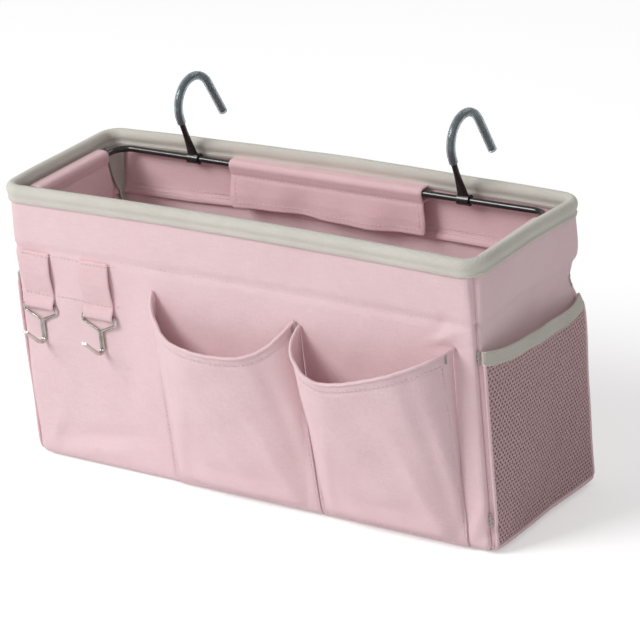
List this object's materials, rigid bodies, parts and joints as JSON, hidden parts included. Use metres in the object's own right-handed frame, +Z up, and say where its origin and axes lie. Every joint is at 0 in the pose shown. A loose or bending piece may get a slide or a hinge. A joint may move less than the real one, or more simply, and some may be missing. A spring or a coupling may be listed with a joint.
{
  "type": "hanging storage bag",
  "caption": "Open box-shaped canvas bag on a wire rim with two turning rail hooks, scoop front pockets, mesh end pockets and small wire hooks on sewn loops.",
  "frame": {"origin": "middle of the underside of the bag", "axes": "+X right along the long side, -Y front with the pockets, +Y back with the rail hooks, +Z up"},
  "size_m": [0.39, 0.1876, 0.251],
  "materials": {
    "canvas": "pink cotton-look canvas, plain weave",
    "lining": "pink canvas, inside face",
    "board": "stiff polypropylene sheet",
    "trim": "off-white twill tape",
    "net": "pink polyester mesh",
    "webbing": "pink woven webbing",
    "black_wire": "gloss black coating",
    "clear_tube": "clear flexible PVC tube",
    "nickel_wire": "bright nickel plate"
  },
  "bodies": {
    "bag": {"front_panel": "canvas", "back_panel": "canvas", "left_end_panel": "canvas", "right_end_panel": "canvas", "bottom_panel": "canvas", "front_pocket_left": "canvas", "front_pocket_right": "canvas", "top_facing": "lining", "back_sleeve": "lining", "front_sleeve": "lining", "left_sleeve": "lining", "right_sleeve": "lining", "base_board": "board", "rim_tape": "trim", "net_edge_left": "trim", "net_edge_right": "trim", "seam_tape_front_left": "trim", "seam_tape_front_right": "trim", "seam_tape_back_left": "trim", "seam_tape_back_right": "trim", "pocket_edge_left": "canvas", "pocket_edge_right": "canvas", "net_pocket_left": "net", "net_pocket_right": "net", "webbing_loop_left": "webbing", "webbing_loop_right": "webbing", "wire_frame": "black_wire"},
    "rail_hook_left": {"rail_hook_left": "black_wire", "hook_tube_left": "clear_tube"},
    "rail_hook_right": {"rail_hook_right": "black_wire", "hook_tube_right": "clear_tube"},
    "small_hook_left": {"small_hook_left": "nickel_wire"},
    "small_hook_right": {"small_hook_right": "nickel_wire"}
  },
  "joints": [
    {"name": "rail_hook_left_turn", "type": "hinge", "parent": "bag", "child": "rail_hook_left", "pos_m": [-0.11, 0.052, 0.191], "axis": [1, 0, 0], "range_deg": [-30, 150]},
    {"name": "rail_hook_right_turn", "type": "hinge", "parent": "bag", "child": "rail_hook_right", "pos_m": [0.11, 0.052, 0.191], "axis": [1, 0, 0], "range_deg": [-30, 150]},
    {"name": "small_hook_left_swing", "type": "hinge", "parent": "bag", "child": "small_hook_left", "pos_m": [-0.165, -0.0645, 0.118], "axis": [-1, 0, 0], "range_deg": [0, 100]},
    {"name": "small_hook_right_swing", "type": "hinge", "parent": "bag", "child": "small_hook_right", "pos_m": [-0.114, -0.0645, 0.118], "axis": [-1, 0, 0], "range_deg": [0, 100]}
  ]
}
